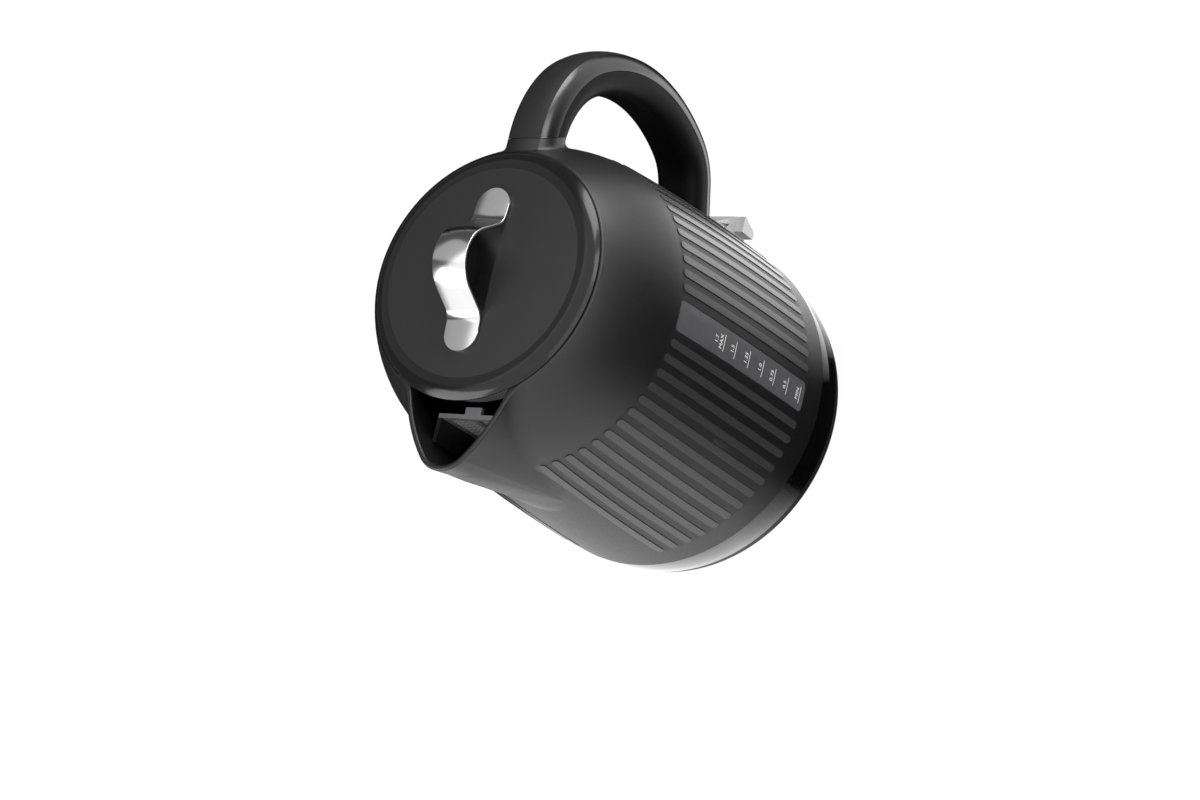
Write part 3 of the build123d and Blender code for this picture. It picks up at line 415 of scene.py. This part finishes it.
window_smoke = smoked_window("smoke_copolyester_window")
mesh_nylon = woven_nylon("woven_nylon_mesh")

# Pad-printed ink: thin, even and matt
white_print, print_shader = new_material("pad_printed_white_ink")
set_inputs(print_shader, Base_Color=linear("#E4E4E2"), Roughness=0.5)

finishes = {
    body_abs: ("body_shell",),
    lid_abs: ("lid_top",),
    skirt_abs_with_painted_light: ("lid_skirt",),
    handle_abs: ("handle_outer_cover",),
    inlay_abs: ("handle_inlay",),
    grip_abs: ("handle_inner_cover",),
    foot_abs: ("base_cover",),
    band_gloss: ("base_band",),
    window_smoke: ("water_window_left", "water_window_right"),
    filter_pp_with_painted_light: ("filter_frame",),
    mesh_nylon: ("filter_mesh",),
    switch_abs: ("switch_lever",),
    control_pbt: ("control_unit", "clamp_ring", "trip_rocker"),
    tube_pp: ("steam_tube",),
    seal_rubber: ("plate_seal", "lid_seal"),
    strip_steel: ("lid_strip",),
    plate_steel: ("element_plate",),
    aluminium: ("heat_spreader", "heating_element"),
    zinc_steel: (
        "base_screws",
        "clamp_screws",
        "strip_screws",
        "element_terminals",
        "lever_pin",
        "rocker_pin",
    ),
    stamped_brass: ("terminal_links", "earth_pin", "contact_rings"),
    rolled_bimetal: ("bimetal_discs", "steam_bimetal"),
}
for material, names in finishes.items():
    for name in names:
        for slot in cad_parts[name].material_slots:
            slot.material = material


def jug_radius(height):
    """Outer radius of the jug at a height on its belly curve."""
    return BELLY_RADIUS - BELLY_ARC + sqrt(BELLY_ARC**2 - (height - BELLY_HEIGHT) ** 2)


def mesh_object(name, shape, material):
    """An object at the origin made from a bmesh, with its finish."""
    mesh = bpy.data.meshes.new(name)
    shape.to_mesh(mesh)
    shape.free()
    mesh.materials.append(material)
    made = bpy.data.objects.new(name, mesh)
    bpy.context.scene.collection.objects.link(made)
    return made


def finished_piece(name, shape, material, body):
    """A mesh object that rides on a body."""
    piece = mesh_object(name, shape, material)
    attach(piece, body)


def words_mesh(words, size):
    """Thin closed letters of one line of words, centred on the origin in the XY plane."""
    curve = bpy.data.curves.new(words, "FONT")
    curve.body = words
    curve.size = size
    curve.align_x = "CENTER"
    curve.align_y = "CENTER"
    curve.extrude = PRINT_THICKNESS / 2
    curve.resolution_u = LETTER_STEPS
    writing = bpy.data.objects.new(words, curve)
    bpy.context.scene.collection.objects.link(writing)
    mesh = bpy.data.meshes.new_from_object(writing)
    bpy.data.objects.remove(writing)
    bpy.data.curves.remove(curve)
    return mesh


def line_mesh():
    """Thin bar under one mark, cut across so that it can bend with the window."""
    shape = bmesh.new()
    bmesh.ops.create_cube(shape, size=1.0)
    along = [edge for edge in shape.edges if abs(edge.verts[0].co.x - edge.verts[1].co.x) > 0.5]
    bmesh.ops.subdivide_edges(shape, edges=along, cuts=MARK_LINE_CUTS)
    bmesh.ops.scale(shape, vec=(*MARK_LINE, PRINT_THICKNESS), verts=shape.verts)
    mesh = bpy.data.meshes.new("mark_line")
    shape.to_mesh(mesh)
    shape.free()
    return mesh


def printed_marks(name, facing):
    """Volume marks laid on one window's curved face. Facing is -1 for the -Y side and 1 for the +Y side."""
    shape = bmesh.new()
    for height, words, underlined in MARKS:
        letters = words_mesh(words, LETTER_HEIGHT)
        letters.transform(Matrix.Translation((0, height, 0)))
        shape.from_mesh(letters)
        bpy.data.meshes.remove(letters)
        if underlined:
            line = line_mesh()
            line.transform(Matrix.Translation((0, height - MARK_LINE_DROP, 0)))
            shape.from_mesh(line)
            bpy.data.meshes.remove(line)
    for vertex in shape.verts:
        across, height, depth = vertex.co
        radius = jug_radius(height) - WINDOW_RECESS + PRINT_LIFT + depth
        angle = across / radius
        vertex.co = (-facing * radius * sin(angle), facing * radius * cos(angle), height)
    bmesh.ops.recalc_face_normals(shape, faces=shape.faces)
    finished_piece(name, shape, white_print, "jug")


printed_marks("volume_marks_left", -1)
printed_marks("volume_marks_right", 1)


def seeing_rays(tree):
    """Two sockets: 1 for rays from gloss, and 1 for rays from the camera, from gloss or through glass."""
    rays = add_node(tree, "ShaderNodeLightPath").outputs
    glossy = rays["Is Glossy Ray"]
    seen = add_node(tree, "ShaderNodeMath", {0: rays["Is Camera Ray"], 1: glossy}, operation="ADD")
    seen = add_node(
        tree,
        "ShaderNodeMath",
        {0: seen.outputs[0], 1: rays["Is Transmission Ray"]},
        operation="ADD",
        use_clamp=True,
    )
    return glossy, seen.outputs[0]


# Floor: a glowing white to the camera, in gloss and through glass, and otherwise plain white paper
floor_paper = bpy.data.materials.new("white_studio_paper")
tree = bare_tree(floor_paper)
glossy, seen = seeing_rays(tree)
share = add_node(tree, "ShaderNodeMath", {0: seen, 1: FLOOR_GLOW_SHARE}, operation="MULTIPLY")
strength = add_node(
    tree, "ShaderNodeMath", {0: glossy, 1: FLOOR_GLOSS_EXTRA, 2: FLOOR_GLOW}, operation="MULTIPLY_ADD"
)
paper = add_node(tree, "ShaderNodeBsdfDiffuse", {"Color": linear("#F4F4F4")})
glow = add_node(tree, "ShaderNodeEmission", {"Color": linear("#FFFFFF"), "Strength": strength.outputs[0]})
mixed = add_node(
    tree, "ShaderNodeMixShader", {0: share.outputs[0], 1: paper.outputs[0], 2: glow.outputs[0]}
)
add_node(tree, "ShaderNodeOutputMaterial", {"Surface": mixed.outputs[0]})
floor_shape = bmesh.new()
bmesh.ops.create_circle(floor_shape, cap_ends=True, segments=FLOOR_SEGMENTS, radius=FLOOR_RADIUS)
floor = mesh_object("studio_floor", floor_shape, floor_paper)

# World: a white backdrop, in gloss brighter in front and dark behind, and otherwise a plain level of light
world = bpy.data.worlds.new("studio")
bpy.context.scene.world = world
tree = bare_tree(world)
glossy, seen = seeing_rays(tree)
way = add_node(tree, "ShaderNodeTexCoord").outputs["Generated"]
behind = add_node(tree, "ShaderNodeVectorMath", {0: way, 1: BEHIND_WAY}, operation="DOT_PRODUCT")
mirrored = add_node(
    tree,
    "ShaderNodeMapRange",
    {
        "Value": behind.outputs["Value"],
        "From Min": BEHIND_EDGE - BEHIND_EDGE_BLUR,
        "From Max": BEHIND_EDGE + BEHIND_EDGE_BLUR,
        "To Min": FRONT_LEVEL,
        "To Max": BEHIND_LEVEL,
    },
)
shown = add_node(
    tree,
    "ShaderNodeMix",
    {FACTOR: glossy, NUMBER_A: BACKDROP_LEVEL, NUMBER_B: mirrored.outputs["Result"]},
)
level = add_node(
    tree,
    "ShaderNodeMix",
    {FACTOR: seen, NUMBER_A: WORLD_FILL, NUMBER_B: shown.outputs[MIXED_NUMBER]},
)
backdrop = add_node(tree, "ShaderNodeBackground", {"Strength": level.outputs[MIXED_NUMBER]})
add_node(tree, "ShaderNodeOutputWorld", {"Surface": backdrop.outputs[0]})


def softbox(name, place, aim, size, power):
    """A rectangular soft lamp that faces a point on the kettle."""
    lamp = bpy.data.lights.new(name, "AREA")
    lamp.shape = "RECTANGLE"
    lamp.size, lamp.size_y = size
    lamp.energy = power
    holder = bpy.data.objects.new(name, lamp)
    way = Vector(aim) - Vector(place)
    holder.matrix_world = Matrix.Translation(place) @ way.to_track_quat("-Z", "Y").to_matrix().to_4x4()
    bpy.context.scene.collection.objects.link(holder)
    return holder


def card_paper(name, strength):
    """Card of one even brightness that is clear where its cover attribute is 0."""
    card = bpy.data.materials.new(name)
    tree = bare_tree(card)
    cover = add_node(tree, "ShaderNodeAttribute", attribute_name="cover")
    clear = add_node(tree, "ShaderNodeBsdfTransparent")
    face = add_node(tree, "ShaderNodeEmission", {"Color": linear("#FFFFFF"), "Strength": strength})
    mixed = add_node(
        tree, "ShaderNodeMixShader", {0: cover.outputs["Fac"], 1: clear.outputs[0], 2: face.outputs[0]}
    )
    add_node(tree, "ShaderNodeOutputMaterial", {"Surface": mixed.outputs[0]})
    return card


def studio_card(name, finish, radii, angles, heights, fade):
    """A bent card round the kettle that only gloss shows, from its inner low edge to its outer high edge.

    The angles run from +X towards +Y in degrees, and the two ends fade out over the last of them.
    """
    inner, outer = radii
    start, end = angles
    low, high = heights
    shape = bmesh.new()
    edge = [shape.verts.new((inner, 0.0, low)), shape.verts.new((outer, 0.0, high))]
    rim = shape.edges.new(edge)
    bmesh.ops.rotate(shape, verts=edge, matrix=Matrix.Rotation(radians(start), 3, "Z"))
    bmesh.ops.spin(
        shape,
        geom=[*edge, rim],
        axis=(0, 0, 1),
        angle=radians(end - start),
        steps=CARD_STEPS,
        use_duplicate=False,
    )
    card = mesh_object(name, shape, finish)
    half = radians(end - start) / 2
    middle = Vector((cos(radians(start) + half), sin(radians(start) + half), 0.0))
    cover = card.data.attributes.new("cover", "FLOAT", "POINT")
    for place, vertex in enumerate(card.data.vertices):
        turn = middle.angle(Vector((vertex.co.x, vertex.co.y, 0.0)))
        cover.data[place].value = min(1.0, (half - turn) / radians(fade))
    card.visible_camera = False
    card.visible_diffuse = False
    card.visible_shadow = False
    card.visible_transmission = False


# Lamps, each with its place, aim, size and power
softbox("softbox_over_handle", (1.15, -0.45, 0.7), KETTLE_MIDDLE, (0.6, 1.0), 13.0)
softbox("softbox_over_spout", (-1.0, 0.75, 0.8), KETTLE_MIDDLE, (0.9, 0.9), 11.0)
softbox("softbox_front", (-0.31, -1.16, 1.1), KETTLE_MIDDLE, (1.5, 0.9), 5.0)
softbox("softbox_front_right", (0.62, -1.07, 1.0), KETTLE_MIDDLE, (0.45, 0.55), 3.4)
spout_lamp = softbox("softbox_into_spout", (-0.75, -0.15, 1.25), SPOUT_MOUTH, (0.35, 0.35), 6.0)
spout_lamp.visible_glossy = False
softbox("softbox_overhead", (0.32, 0.64, 1.2), LID_MIDDLE, (1.1, 1.1), 1.5)

# Cards, each with its radii, angles, heights and fade: those on the floor lie just above one another
card_black = card_paper("black_card", BLACK_CARD_LEVEL)
card_bright = card_paper("bright_card", BRIGHT_CARD_LEVEL)
studio_card("card_on_floor_in_front", card_black, (0.06, 1.3), (-146, -36), (0.8 * MM, 0.8 * MM), 30)
studio_card("card_in_front", card_black, (1.3, 1.3), (-146, -36), (MM, 0.6), 30)
studio_card("card_beside_handle", card_bright, (0.09, 0.24), (-75, 45), (MM, MM), 50)
studio_card("card_on_floor_behind", card_black, (0.09, 6.0), (-11, 132), (1.2 * MM, 1.2 * MM), 5)

# Camera
ahead = Vector((
    sin(CAMERA_AZIMUTH) * cos(CAMERA_DIP),
    cos(CAMERA_AZIMUTH) * cos(CAMERA_DIP),
    -sin(CAMERA_DIP),
))
level_up = Vector((
    sin(CAMERA_AZIMUTH) * sin(CAMERA_DIP),
    cos(CAMERA_AZIMUTH) * sin(CAMERA_DIP),
    cos(CAMERA_DIP),
))
level_right = ahead.cross(level_up)
up = cos(CAMERA_ROLL) * level_up + sin(CAMERA_ROLL) * level_right
right = cos(CAMERA_ROLL) * level_right - sin(CAMERA_ROLL) * level_up
lens = bpy.data.cameras.new("photo_camera")
lens.lens = CAMERA_LENS
lens.sensor_width = SENSOR_WIDTH
lens.sensor_fit = "HORIZONTAL"
camera = bpy.data.objects.new("photo_camera", lens)
camera.matrix_world = Matrix.Translation(CAMERA_PLACE) @ Matrix((right, up, -ahead)).transposed().to_4x4()
bpy.context.scene.collection.objects.link(camera)
bpy.context.scene.camera = camera

bpy.context.scene.view_settings.view_transform = "Standard"
